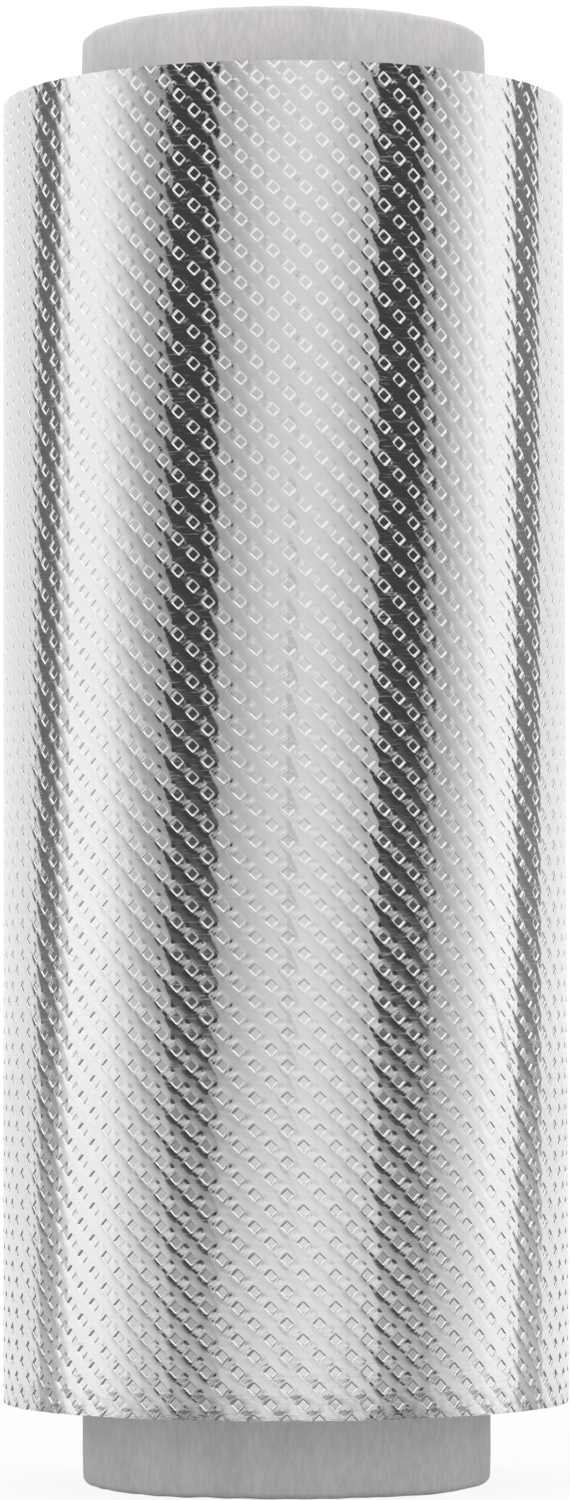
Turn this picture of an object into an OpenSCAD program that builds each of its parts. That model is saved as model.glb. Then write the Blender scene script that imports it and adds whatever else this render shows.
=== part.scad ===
// Roll of embossed hair foil: one long strip of aluminium foil, wound on a
// paperboard tube that sticks out past the foil at both ends.
// Millimetres, +Z along the roll, origin at the centre of the tube's lower end.

/* [Foil] */
// Width of the foil strip, which is the length of the wound part
foil_width = 120; // [110:1:130]
// Outside diameter of the wound foil
roll_d = 52.3; // [47:0.1:56]
// How far the strip's free end stands off the turn below it
free_end_step = 0.16; // [0.08:0.01:0.3]
// Where the free end lies round the roll, seen from above
free_end_angle = 118; // [0:1:359]

/* [Embossing] */
// Distance round the roll from one diamond of the foil to the next in its row
diamond_pitch_round = 2.88; // [2.85:0.01:3.6]
// Distance along the roll from one diamond of the foil to the next in its column
diamond_pitch_along = 2.82; // [2.8:0.01:3.6]
// Distance between opposite corners of one of the foil's diamonds
diamond_across = 1.28; // [1:0.01:1.36]
// Depth of one of the foil's diamonds, which are pressed inwards
diamond_depth = 0.15; // [0.08:0.01:0.2]
// How many times larger and fewer the solid's diamonds are than the foil's, to keep its faces few
relief_scale = 2.1; // [2.08:0.01:2.6]

/* [Turns at the ends] */
// Radial distance from one turn of the spiral groove to the next
groove_pitch = 0.6; // [0.5:0.05:1.2]
// Depth of the groove
groove_depth = 0.25; // [0.1:0.05:0.5]
// Width of the groove at the end face
groove_width = 0.3; // [0.2:0.05:0.45]
// Plain band left at the roll's rim and beside the tube
groove_margin = 0.9; // [0.7:0.1:1.5]

/* [Tube] */
// Outside diameter of the paperboard tube
tube_d = 37.6; // [33:0.1:41]
// Wall of the tube
tube_wall = 2.8; // [1.5:0.1:4]
// How far the tube sticks out above the foil
tube_out_top = 6.4; // [3:0.1:12]
// How far the tube sticks out below the foil
tube_out_bottom = 7.6; // [3:0.1:12]
// Rounding of the tube's cut edges
tube_edge_r = 0.5; // [0.2:0.1:0.7]

/* [Hidden] */
$fn = 96;

// Radial gap between the tube and the first turn
seat_gap = 0.02;
// How far a cutter reaches past the face that it cuts
past = 1;

tube_r = tube_d / 2;
bore_r = tube_r - tube_wall;
tube_length = tube_out_bottom + foil_width + tube_out_top;
roll_r = roll_d / 2;
roll_bore_r = tube_r + seat_gap;

// Diamonds in a row round the roll, and rows along it
round_count = round(PI * roll_d / (diamond_pitch_round * relief_scale));
rows = 2 * round(foil_width / (diamond_pitch_along * relief_scale));
row_height = foil_width / rows;

// Places round the roll are counted in half diamonds, from the free end.
steps = 2 * round_count;
step_angle = 360 / steps;
half_width = diamond_across / diamond_pitch_round;
half_height = diamond_across * relief_scale / 2;
dent = diamond_depth * relief_scale;

// The spiral groove runs as half turns about two centres.
groove_inner_r = roll_bore_r + groove_margin;
groove_outer_r = roll_r - free_end_step - dent - groove_margin;
half_grooves = floor(2 * (groove_outer_r - groove_inner_r) / groove_pitch);

// The order of a diamond's points: its four corners and its sunk middle
east = 0;
north = 1;
west = 2;
south = 3;
middle = 4;
per_diamond = 5;

// The paperboard tube, with its cut edges rounded inside and outside.
module core_tube() {
    color([0.84, 0.83, 0.83])
    rotate_extrude()
    translate([bore_r, 0])
    rounded_strip(tube_wall, tube_length, tube_edge_r);
}

// A rectangle from the origin, with its four corners rounded.
module rounded_strip(w, h, r) {
    for (x = [r, w - r], y = [r, h - r])
        translate([x, y]) circle(r);
    translate([r, 0]) square([w - 2 * r, h]);
    translate([0, r]) square([w, h - 2 * r]);
}

// The wound strip: all its turns, the last one embossed and ending in a free edge.
module foil_roll() {
    color([0.85, 0.86, 0.87])
    translate([0, 0, tube_out_bottom])
    difference() {
        embossed_turns();
        translate([0, 0, -past])
            cylinder(h = foil_width + 2 * past, r = roll_bore_r);
        spiral_groove();
        translate([0, 0, foil_width]) mirror([0, 0, 1])
            spiral_groove();
    }
}

// A V groove in the end face at z = 0, which shows the turns.
module spiral_groove() {
    for (h = [0 : half_grooves - 1])
        rotate(h % 2 == 0 ? 0 : 180)
            translate([-groove_pitch / 4, 0, 0])
                rotate_extrude(angle = 180)
                    translate([groove_inner_r + (h + 0.5) * groove_pitch / 2, 0])
                        groove_profile();
}

// The groove's section, widening to the face and on past it.
module groove_profile() {
    lip = groove_width / 2 * (1 + past / groove_depth);
    polygon([[0, groove_depth], [-lip, -past], [lip, -past]]);
}

// The turns as one solid, with rows of diamonds pressed into it all round.
module embossed_turns() {
    points = concat(
        [for (row = [0 : rows - 1]) each row_points(row)],
        ring_points(0),
        ring_points(foil_width)
    );
    polyhedron(points, concat(
        [for (row = [0 : rows - 1], i = [0 : last(row)]) each diamond_faces(row, i)],
        [for (row = [-1 : rows - 1], i = [0 : last(row)]) each plain_above(row, i)],
        [for (row = [0 : rows - 1], i = [0 : last(row + 1)]) each plain_between(row, i)],
        free_end_faces(),
        [[for (step = [0 : steps]) ring_start(-1) + step]],
        [[for (step = [steps : -1 : 0]) ring_start(rows) + step]]
    ));
}

// The last turn's radius falls by one step on its way round from the free end.
function surface_point(step, z, sunk) =
    let (r = roll_r - sunk - free_end_step * step / steps,
         angle = free_end_angle + step * step_angle)
    [r * cos(angle), r * sin(angle), z];

function diamond_points(step, z) = [
    surface_point(step + half_width, z, 0),
    surface_point(step, z + half_height, 0),
    surface_point(step - half_width, z, 0),
    surface_point(step, z - half_height, 0),
    surface_point(step, z, dent)
];

// Every second row starts half a diamond past the free end. The rows between
// them start and end with a diamond that the free end cuts in half.
function shift(row) = (row + 2) % 2;
function last(row) = round_count - shift(row);
function row_points(row) =
    [for (i = [0 : last(row)]) each diamond_points(2 * i + shift(row), (row + 0.5) * row_height)];
function ring_points(z) = [for (step = [0 : steps]) surface_point(step, z, 0)];

// The number of a point. The row before the first and the one after the last are the foil's edges.
function row_start(row) =
    per_diamond * ((round_count + 1) * ceil(row / 2) + round_count * floor(row / 2));
function ring_start(row) = row_start(rows) + (row < 0 ? 0 : steps + 1);
function at(row, i, corner) =
    row < 0 || row == rows
        ? ring_start(row) + 2 * i + shift(row) + (corner == east ? 1 : corner == west ? -1 : 0)
        : row_start(row) + per_diamond * i + corner;

function halves(q) = [[q[0], q[1], q[2]], [q[0], q[2], q[3]]];

// A pressed diamond, or the half of one that the free end leaves.
function diamond_faces(row, i) =
    let (e = at(row, i, east), n = at(row, i, north), w = at(row, i, west),
         s = at(row, i, south), m = at(row, i, middle))
    concat(
        shift(row) == 0 && i == last(row) ? [] : [[m, n, e], [m, e, s]],
        shift(row) == 0 && i == 0 ? [] : [[m, s, w], [m, w, n]]
    );

// The plain foil from a diamond to its two neighbours in the row above.
function plain_above(row, i) =
    let (up = row + 1, right = i + shift(row), left = right - 1)
    concat(
        right > last(up) ? [] : halves([
            at(row, i, east), at(row, i, north), at(up, right, west), at(up, right, south)]),
        left < 0 ? [] : halves([
            at(row, i, west), at(up, left, south), at(up, left, east), at(row, i, north)])
    );

// The plain foil on both sides of the line that joins the rows below and above this one.
function plain_between(row, i) =
    let (below = at(row - 1, i, north), above = at(row + 1, i, south),
         right = i + shift(row + 1), left = right - 1)
    concat(
        right > last(row) ? [] : [[above, at(row, right, west), below]],
        left < 0 ? [] : [[at(row, left, east), above, below]]
    );

// The narrow wall along the strip's free end.
function free_end_line(i) = concat(
    [at(-1, i, west)],
    [for (row = [0 : 2 : rows - 1], corner = [south, middle, north]) at(row, i, corner)],
    [at(rows, i, south)]
);
function free_end_faces() =
    let (outer = free_end_line(0), inner = free_end_line(round_count))
    [for (k = [0 : len(outer) - 2]) [inner[k], inner[k + 1], outer[k + 1], outer[k]]];

core_tube();
foil_roll();
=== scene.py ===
"""The looks of a roll of hair foil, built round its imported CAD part.

Metres, in the part's own frame: +Z runs along the roll, and the origin is the
centre of the tube's lower end. Round the roll, an angle is seen from above.
"""

from __future__ import annotations

import functools
import logging
import math
from dataclasses import dataclass, field
from enum import Enum

import bpy
import numpy as np
from mathutils import Matrix, Vector

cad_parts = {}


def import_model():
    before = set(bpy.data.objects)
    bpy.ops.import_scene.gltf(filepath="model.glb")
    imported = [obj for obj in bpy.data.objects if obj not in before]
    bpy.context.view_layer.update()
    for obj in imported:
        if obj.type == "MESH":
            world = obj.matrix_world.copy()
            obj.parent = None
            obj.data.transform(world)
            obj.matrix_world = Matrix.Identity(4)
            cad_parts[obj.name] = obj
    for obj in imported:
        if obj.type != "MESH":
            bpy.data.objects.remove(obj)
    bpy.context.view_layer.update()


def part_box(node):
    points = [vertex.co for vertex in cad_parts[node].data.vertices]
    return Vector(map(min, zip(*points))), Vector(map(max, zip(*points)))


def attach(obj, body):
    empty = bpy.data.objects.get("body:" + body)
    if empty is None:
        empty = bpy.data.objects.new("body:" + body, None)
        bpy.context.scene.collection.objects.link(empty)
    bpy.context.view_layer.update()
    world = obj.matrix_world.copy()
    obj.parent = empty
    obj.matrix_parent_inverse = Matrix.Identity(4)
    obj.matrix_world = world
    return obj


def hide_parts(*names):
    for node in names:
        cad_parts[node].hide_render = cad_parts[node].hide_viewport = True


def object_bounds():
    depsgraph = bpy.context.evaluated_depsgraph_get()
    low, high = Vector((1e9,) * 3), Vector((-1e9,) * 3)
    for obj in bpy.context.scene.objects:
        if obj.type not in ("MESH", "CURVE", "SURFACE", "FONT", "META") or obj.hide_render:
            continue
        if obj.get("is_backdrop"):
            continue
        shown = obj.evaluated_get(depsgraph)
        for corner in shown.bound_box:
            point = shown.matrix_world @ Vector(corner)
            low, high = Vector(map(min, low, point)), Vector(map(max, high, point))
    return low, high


LOG = logging.getLogger("hair_foil_roll")
MM = 0.001
TURN = 2.0 * math.pi
WHITE = (1.0, 1.0, 1.0, 1.0)
BODY = "root"
# The roll's outside radius, and the gap left between nested pieces
ROLL_RADIUS = 26.15 * MM
GAP = 0.02 * MM

Socket = bpy.types.NodeSocket
Value = float | int | bool | str | tuple | Socket | bpy.types.ID
Colour = tuple[float, float, float]
Span = tuple[float, float]


class Edge(Enum):
    """The two ends of the roll."""

    LOWER = -1
    UPPER = 1


# ---------------------------------------------------------------- node trees


class Nodes:
    """Adds nodes to a shader or geometry tree, and links or sets their inputs."""

    def __init__(self, tree: bpy.types.NodeTree) -> None:
        """Keeps the tree that the nodes go into."""
        self.tree = tree

    def add(self, kind: str, inputs: dict | None = None, **settings: Value) -> bpy.types.Node:
        """Adds one node.

        Args:
            kind: The node's type name.
            inputs: What goes into each input, by its name, identifier or number.
            settings: The node's own settings, such as its operation.

        Returns:
            The new node.
        """
        node = self.tree.nodes.new(kind)
        for name, value in settings.items():
            setattr(node, name, value)
        for key, value in (inputs or {}).items():
            self.feed(self.socket(node, key), value)
        return node

    def socket(self, node: bpy.types.Node, key: str | int) -> Socket:
        """Finds an input that is in use.

        Args:
            node: The node that has the input.
            key: The input's number, name or identifier.

        Returns:
            The input's socket.
        """
        if isinstance(key, int):
            return node.inputs[key]
        for found in node.inputs:
            if found.enabled and key in (found.identifier, found.name):
                return found
        raise KeyError(f"{node.bl_idname} has no input {key}")

    def feed(self, socket: Socket, value: Value) -> None:
        """Links or sets an input.

        Args:
            socket: The input.
            value: The socket to link it to, or its new value.
        """
        if isinstance(value, Socket):
            self.tree.links.new(value, socket)
        else:
            socket.default_value = value

    def math(self, operation: str, *values: Value) -> Socket:
        """Returns the result of a Math node on up to three values."""
        node = self.add("ShaderNodeMath", dict(enumerate(values)), operation=operation)
        return node.outputs[0]

    def total(self, *values: Value) -> Socket:
        """Returns the sum of two or more values."""
        return functools.reduce(functools.partial(self.math, "ADD"), values)

    def product(self, *values: Value) -> Socket:
        """Returns the product of two or more values."""
        return functools.reduce(functools.partial(self.math, "MULTIPLY"), values)

    def minus(self, first: Value, second: Value) -> Socket:
        """Returns the first value less the second."""
        return self.math("SUBTRACT", first, second)

    def ratio(self, first: Value, second: Value) -> Socket:
        """Returns the first value divided by the second."""
        return self.math("DIVIDE", first, second)

    def inverse(self, value: Value) -> Socket:
        """Returns 1 less the value."""
        return self.minus(1.0, value)

    def size(self, value: Value) -> Socket:
        """Returns a value without its sign."""
        return self.math("ABSOLUTE", value)

    def centred(self, value: Value) -> Socket:
        """Returns the distance, with its sign, from the nearest whole number."""
        return self.minus(self.math("FRACT", self.total(value, 0.5)), 0.5)

    def circle(self, angle: Value) -> tuple[Socket, Socket]:
        """Returns an angle's cosine and sine."""
        return self.math("COSINE", angle), self.math("SINE", angle)

    def around(self, angle: Value, reach: Value, height: Value) -> Socket:
        """Returns the point at an angle round the roll, a distance from its axis and a height."""
        cosine, sine = self.circle(angle)
        return self.combine(self.product(cosine, reach), self.product(sine, reach), height)

    def vector_math(self, operation: str, *values: Value) -> Socket:
        """Returns the vector that a Vector Math node finds."""
        node = self.add("ShaderNodeVectorMath", dict(enumerate(values)), operation=operation)
        return node.outputs["Vector"]

    def measure(self, operation: str, *values: Value) -> Socket:
        """Returns the number that a Vector Math node finds, such as a length."""
        node = self.add("ShaderNodeVectorMath", dict(enumerate(values)), operation=operation)
        return node.outputs["Value"]

    def scaled(self, vector: Value, factor: Value) -> Socket:
        """Returns a vector times a number."""
        node = self.add("ShaderNodeVectorMath", {0: vector, "Scale": factor}, operation="SCALE")
        return node.outputs["Vector"]

    def combine(self, x: Value, y: Value, z: Value) -> Socket:
        """Returns a vector of three numbers."""
        return self.add("ShaderNodeCombineXYZ", {"X": x, "Y": y, "Z": z}).outputs[0]

    def separate(self, vector: Socket) -> list[Socket]:
        """Returns a vector's three numbers."""
        return list(self.add("ShaderNodeSeparateXYZ", {0: vector}).outputs)

    def ramp(self, value: Value, low: Value, high: Value, smooth: bool = True) -> Socket:
        """Rises from 0 to 1 between two values.

        Args:
            value: The value that the rise follows.
            low: Where the rise starts.
            high: Where the rise ends.
            smooth: Whether the rise is soft at both ends.

        Returns:
            A number between 0 and 1.
        """
        kind = "SMOOTHSTEP" if smooth else "LINEAR"
        node = self.add(
            "ShaderNodeMapRange",
            {"Value": value, "From Min": low, "From Max": high},
            interpolation_type=kind,
        )
        return node.outputs[0]

    def noise(self, vector: Value, scale: float, detail: float = 2.0, **inputs: Value) -> Socket:
        """Adds a noise.

        Args:
            vector: The place that the noise is read at.
            scale: How many patches the noise has in one unit.
            detail: How many finer layers the noise has.
            inputs: The node's other inputs.

        Returns:
            A number between 0 and 1.
        """
        feeds = {"Vector": vector, "Scale": scale, "Detail": detail, **inputs}
        return self.add("ShaderNodeTexNoise", feeds).outputs[0]

    def blend_colour(self, factor: Value, first: Value, second: Value) -> Socket:
        """Blends two colours.

        Args:
            factor: The second colour's share.
            first: The colour at a share of 0.
            second: The colour at a share of 1.

        Returns:
            The blended colour.
        """
        node = self.add(
            "ShaderNodeMix",
            {"Factor_Float": factor, "A_Color": first, "B_Color": second},
            data_type="RGBA",
        )
        return next(s for s in node.outputs if s.identifier == "Result_Color")


class ShapeTree(Nodes):
    """A Geometry Nodes tree with named inputs, which leaves a plain mesh behind."""

    KINDS = {float: "Float", int: "Int", bpy.types.Object: "Object", bpy.types.Material: "Material"}

    def __init__(self, name: str, inputs: dict[str, float | int | bpy.types.ID]) -> None:
        """Makes the tree and its named inputs.

        Args:
            name: The tree's name.
            inputs: Each input's name and value. A whole number makes a whole-number input.
        """
        super().__init__(bpy.data.node_groups.new(name, "GeometryNodeTree"))
        self.values = dict(inputs)
        face = self.tree.interface
        for label, value in inputs.items():
            kind = next(k for t, k in self.KINDS.items() if isinstance(value, t))
            face.new_socket(name=label, in_out="INPUT", socket_type=f"NodeSocket{kind}")
        face.new_socket(name="Geometry", in_out="OUTPUT", socket_type="NodeSocketGeometry")
        self.entry = self.tree.nodes.new("NodeGroupInput")

    def given(self, name: str) -> Socket:
        """Returns the named input's socket."""
        return self.entry.outputs[name]

    def place(self, geometry: Value, position: Value, selection: Value = True) -> Socket:
        """Moves the selected points to a position."""
        node = self.add(
            "GeometryNodeSetPosition",
            {"Geometry": geometry, "Selection": selection, "Position": position},
        )
        return node.outputs[0]

    def store(
        self, geometry: Value, name: str, value: Value, kind: str, domain: str, chosen: Value = True
    ) -> Socket:
        """Stores a value on the geometry.

        Args:
            geometry: The geometry so far.
            name: The name that the value is stored under.
            value: The value.
            kind: The value's data type.
            domain: What carries the value, such as faces or corners.
            chosen: Where the value is stored.

        Returns:
            The geometry with the stored value.
        """
        node = self.add(
            "GeometryNodeStoreNamedAttribute",
            {"Geometry": geometry, "Selection": chosen, "Name": name},
            data_type=kind,
            domain=domain,
        )
        self.feed(self.socket(node, "Value"), value)
        return node.outputs[0]

    def named(self, name: str, kind: str) -> Socket:
        """Reads a stored value."""
        node = self.add("GeometryNodeInputNamedAttribute", {"Name": name}, data_type=kind)
        return next(s for s in node.outputs if s.enabled and s.name == "Attribute")

    def compare(self, operation: str, first: Value, second: Value) -> Socket:
        """Compares two numbers.

        Args:
            operation: The comparison's name.
            first: The number on the left.
            second: The number on the right.

        Returns:
            Whether the comparison holds.
        """
        node = self.add("FunctionNodeCompare", data_type="FLOAT", operation=operation)
        self.feed(self.socket(node, "A"), first)
        self.feed(self.socket(node, "B"), second)
        return node.outputs[0]

    def merged(self, geometry: Value, distance: float) -> Socket:
        """Merges points that lie closer together than the distance."""
        node = self.add("GeometryNodeMergeByDistance", {"Geometry": geometry, "Distance": distance})
        return node.outputs[0]

    def close(self, geometry: Value, smooth: Value = True) -> None:
        """Ends the tree with its shading, real geometry and the material.

        Args:
            geometry: The finished shape.
            smooth: Whether the shape is shaded smooth.
        """
        shaded = self.add(
            "GeometryNodeSetShadeSmooth", {"Geometry": geometry, "Shade Smooth": smooth}
        )
        real = self.add("GeometryNodeRealizeInstances", {"Geometry": shaded.outputs[0]})
        dressed = self.add(
            "GeometryNodeSetMaterial",
            {"Geometry": real.outputs[0], "Material": self.given("Material")},
        )
        end = self.tree.nodes.new("NodeGroupOutput")
        self.tree.links.new(dressed.outputs[0], end.inputs["Geometry"])

    def build(self, name: str) -> bpy.types.Object:
        """Evaluates the tree once.

        Args:
            name: The new piece's name.

        Returns:
            A plain mesh object at the origin, with no modifier left on it.
        """
        piece = bpy.data.objects.new(name, bpy.data.meshes.new(name))
        bpy.context.scene.collection.objects.link(piece)
        modifier = piece.modifiers.new("Shape", "NODES")
        modifier.node_group = self.tree
        for item in self.tree.interface.items_tree:
            if item.in_out == "INPUT":
                modifier[item.identifier] = self.values[item.name]
        graph = bpy.context.evaluated_depsgraph_get()
        mesh = bpy.data.meshes.new_from_object(
            piece.evaluated_get(graph), preserve_all_data_layers=True, depsgraph=graph
        )
        piece.modifiers.remove(modifier)
        piece.data = mesh
        mesh.name = name
        return piece


# ------------------------------------------------------------------ finishes


@dataclass(frozen=True)
class Finish:
    """A surface finish: a Principled shader with its detail from nodes."""

    name: str

    def material(self) -> bpy.types.Material:
        """Builds the finish.

        Returns:
            The finish's material.
        """
        material = bpy.data.materials.new(self.name)
        material.use_nodes = True
        nodes = Nodes(material.node_tree)
        shader = material.node_tree.nodes["Principled BSDF"]
        self.paint(nodes, shader)
        return material

    def paint(self, nodes: Nodes, shader: bpy.types.Node) -> None:
        """Sets the shader's inputs; each finish has its own way."""
        raise NotImplementedError

    @staticmethod
    def bump(nodes: Nodes, height: Value, depth: float) -> Socket:
        """Returns a normal from a height of 0 to 1 times a depth in metres."""
        node = nodes.add("ShaderNodeBump", {"Height": height, "Strength": 1.0, "Distance": depth})
        return node.outputs["Normal"]


@dataclass(frozen=True)
class EmbossedFoil(Finish):
    """Bright rolled aluminium, with the creases that the embossing leaves between the diamonds.

    A length without a unit counts cells of the lattice, along a diagonal from a diamond's middle.
    """

    name: str = "embossed_foil"
    colour: Colour = (0.91, 0.915, 0.92)
    roughness: float = 0.05
    roughness_spread: float = 0.18
    worn: Span = (0.50, 0.74)
    floor_edge: float = 0.165
    rim: float = 0.205
    halo_depth: float = 0.010 * MM
    halo_lean: float = 0.019 * MM
    halo_edge: float = 0.50
    halo_side: float = -0.05
    lip_height: float = 0.016 * MM
    lip_crest: float = 0.236
    lip_foot: float = 0.280
    lip_reach: Span = (0.15, 0.22)
    bridge_lean: float = 0.110 * MM
    bridge_span: Span = (0.30, 0.44)
    bridge_reach: Span = (0.12, 0.34)
    crease_top: Span = (31.06, 13.25)
    crease_foot: Span = (32.09, 10.67)
    crease_width: float = 0.065
    crease_depth: float = 0.060 * MM
    crease_waver: float = 0.4
    fray_depth: float = 0.030 * MM
    fray_scale: float = 1500.0
    fray_reach: float = 0.42
    fray_stretch: float = 2.2
    rows: float = 42.5
    grain_depth: float = 0.0008 * MM
    grain_along: float = 6500.0
    grain_round: float = 600.0
    pucker_depth: float = 0.004 * MM
    pucker_scale: float = 620.0

    def paint(self, nodes: Nodes, shader: bpy.types.Node) -> None:
        """Metal whose relief follows the lattice of diamonds.

        Args:
            nodes: The material's nodes.
            shader: Its Principled shader.
        """
        place = nodes.add("ShaderNodeTexCoord").outputs["Object"]
        lattice = nodes.add("ShaderNodeUVMap", uv_map="lattice").outputs[0]
        u, v, _ = nodes.separate(lattice)
        falling = nodes.centred(nodes.total(u, v))
        rising = nodes.centred(nodes.minus(u, v))
        halo = self.halo(nodes, falling, rising)
        x, y, z = nodes.separate(place)
        grain_scales = (self.grain_round, self.grain_round, self.grain_along)
        drawn_out = (nodes.product(axis, scale) for axis, scale in zip((x, y, z), grain_scales))
        grain = nodes.noise(nodes.combine(*drawn_out), scale=1.0, detail=3.0)
        pucker = nodes.noise(place, scale=self.pucker_scale)
        reliefs = (
            (halo, -1.0),
            (self.bridge(nodes, falling, rising), self.bridge_lean),
            (self.lip(nodes, falling, rising), self.lip_height),
            (self.fray(nodes, place, v), self.fray_depth),
            (self.crease(nodes, lattice, pucker), -self.crease_depth),
            (grain, self.grain_depth),
            (pucker, self.pucker_depth),
        )
        height = nodes.total(*(nodes.product(relief, depth / MM) for relief, depth in reliefs))
        nodes.feed(shader.inputs["Normal"], self.bump(nodes, height, MM))
        shader.inputs["Metallic"].default_value = 1.0
        shader.inputs["Base Color"].default_value = (*self.colour, 1.0)
        worn = nodes.ramp(grain, *self.worn)
        rough = nodes.total(self.roughness, nodes.product(worn, self.roughness_spread))
        nodes.feed(shader.inputs["Roughness"], rough)

    def halo(self, nodes: Nodes, falling: Value, rising: Value) -> Socket:
        """Draws in the foil round a diamond, most at its lower left.

        Args:
            nodes: The material's nodes.
            falling: The distance from the falling diagonal, more towards the upper right.
            rising: The distance from the rising diagonal, more towards the lower right.

        Returns:
            How far the foil is drawn in, in metres.
        """
        squares = [nodes.product(value, value) for value in (falling, rising)]
        fourths = nodes.total(*(nodes.product(square, square) for square in squares))
        off = nodes.math("POWER", fourths, 0.25)
        near = nodes.inverse(nodes.ramp(off, self.rim, self.halo_edge, smooth=False))
        lower_left = nodes.ramp(nodes.product(falling, -1.0), self.halo_side, self.rim)
        outside = nodes.ramp(off, self.floor_edge, self.rim)
        beyond = nodes.product(lower_left, outside, self.halo_lean)
        return nodes.product(near, near, nodes.total(self.halo_depth, beyond))

    def bridge(self, nodes: Nodes, falling: Value, rising: Value) -> Socket:
        """Folds the foil halfway to the next diamond down to the right.

        Args:
            nodes: The material's nodes.
            falling: The distance from the falling diagonal, more towards the upper right.
            rising: The distance from the rising diagonal, more towards the lower right.

        Returns:
            The height of a low ridge with a groove at its lower left.
        """
        between = nodes.ramp(nodes.size(rising), *self.bridge_span)
        beside = nodes.inverse(nodes.ramp(nodes.size(falling), *self.bridge_reach))
        return nodes.product(falling, between, beside)

    def lip(self, nodes: Nodes, falling: Value, rising: Value) -> Socket:
        """Raises a narrow lip at a diamond's upper left and sinks a groove at its lower right.

        Args:
            nodes: The material's nodes.
            falling: The distance from the falling diagonal, more towards the upper right.
            rising: The distance from the rising diagonal, more towards the lower right.

        Returns:
            1 on the lip, -1 in the groove and 0 elsewhere.
        """
        off = nodes.size(rising)
        along = nodes.inverse(nodes.ramp(nodes.size(falling), *self.lip_reach))
        ridge = nodes.product(
            nodes.ramp(off, self.rim, self.lip_crest),
            nodes.inverse(nodes.ramp(off, self.lip_crest, self.lip_foot)),
        )
        side = nodes.math("SIGN", nodes.product(rising, -1.0))
        return nodes.product(ridge, along, side)

    def crease(self, nodes: Nodes, lattice: Value, waver: Value) -> Socket:
        """Draws the short crease to the right of the roll's front.

        Args:
            nodes: The material's nodes.
            lattice: The place on the lattice.
            waver: A noise that bends the crease.

        Returns:
            1 on the crease, falling to 0 beside it.
        """
        top, foot = Vector(self.crease_top), Vector(self.crease_foot)
        run = foot - top
        from_top = nodes.vector_math("SUBTRACT", lattice, (*top, 0.0))
        along = nodes.measure("DOT_PRODUCT", from_top, (*(run / run.length_squared), 0.0))
        inside = nodes.add("ShaderNodeClamp", {"Value": along}).outputs[0]
        nearest = nodes.scaled((*run, 0.0), inside)
        off = nodes.measure("LENGTH", nodes.vector_math("SUBTRACT", from_top, nearest))
        bend = nodes.product(nodes.minus(waver, 0.5), self.crease_waver)
        return nodes.inverse(nodes.ramp(nodes.size(nodes.total(off, bend)), 0.0, self.crease_width))

    def fray(self, nodes: Nodes, place: Value, row: Value) -> Socket:
        """Wrinkles the foil along both cut edges of the strip.

        Args:
            nodes: The material's nodes.
            place: The place on the piece.
            row: The row on the lattice.

        Returns:
            The wrinkles' height, between 0 and 1.
        """
        off = nodes.math("MINIMUM", row, nodes.minus(self.rows, row))
        near = nodes.inverse(nodes.ramp(off, 0.0, self.fray_reach))
        stretch = (1.0, 1.0, self.fray_stretch)
        squeezed = nodes.add("ShaderNodeMapping", {"Vector": place, "Scale": stretch}).outputs[0]
        return nodes.product(nodes.noise(squeezed, scale=self.fray_scale), near, near)


@dataclass(frozen=True)
class FoilEdges(Finish):
    """The edges of the wound turns: bright metal with fine lines round the roll."""

    name: str = "foil_edges"
    colour: Colour = (0.80, 0.805, 0.81)
    roughness: float = 0.34
    roughness_spread: float = 0.16
    valley_painted_shade: float = 0.72
    turns_per_metre: float = 24000.0
    smears_per_metre: float = 300.0
    line_depth: float = 0.03 * MM

    def paint(self, nodes: Nodes, shader: bpy.types.Node) -> None:
        """Metal with a line for every turn, and painted shade darkening the lines' valleys.

        Args:
            nodes: The material's nodes.
            shader: Its Principled shader.
        """
        place = nodes.add("ShaderNodeTexCoord").outputs["Object"]
        x, y, _ = nodes.separate(place)
        radius = nodes.math("SQRT", nodes.total(nodes.product(x, x), nodes.product(y, y)))
        scales = (self.turns_per_metre, self.smears_per_metre, self.smears_per_metre)
        drawn_out = (nodes.product(axis, scale) for axis, scale in zip((radius, x, y), scales))
        lines = nodes.noise(nodes.combine(*drawn_out), scale=1.0)
        nodes.feed(shader.inputs["Normal"], self.bump(nodes, lines, self.line_depth))
        shader.inputs["Metallic"].default_value = 1.0
        # Painted shade: the base colour darkens in the lines' valleys, between the turns.
        valley = (*(self.valley_painted_shade * level for level in self.colour), 1.0)
        colour = nodes.blend_colour(lines, valley, (*self.colour, 1.0))
        nodes.feed(shader.inputs["Base Color"], colour)
        rough = nodes.total(self.roughness, nodes.product(lines, self.roughness_spread))
        nodes.feed(shader.inputs["Roughness"], rough)


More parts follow.
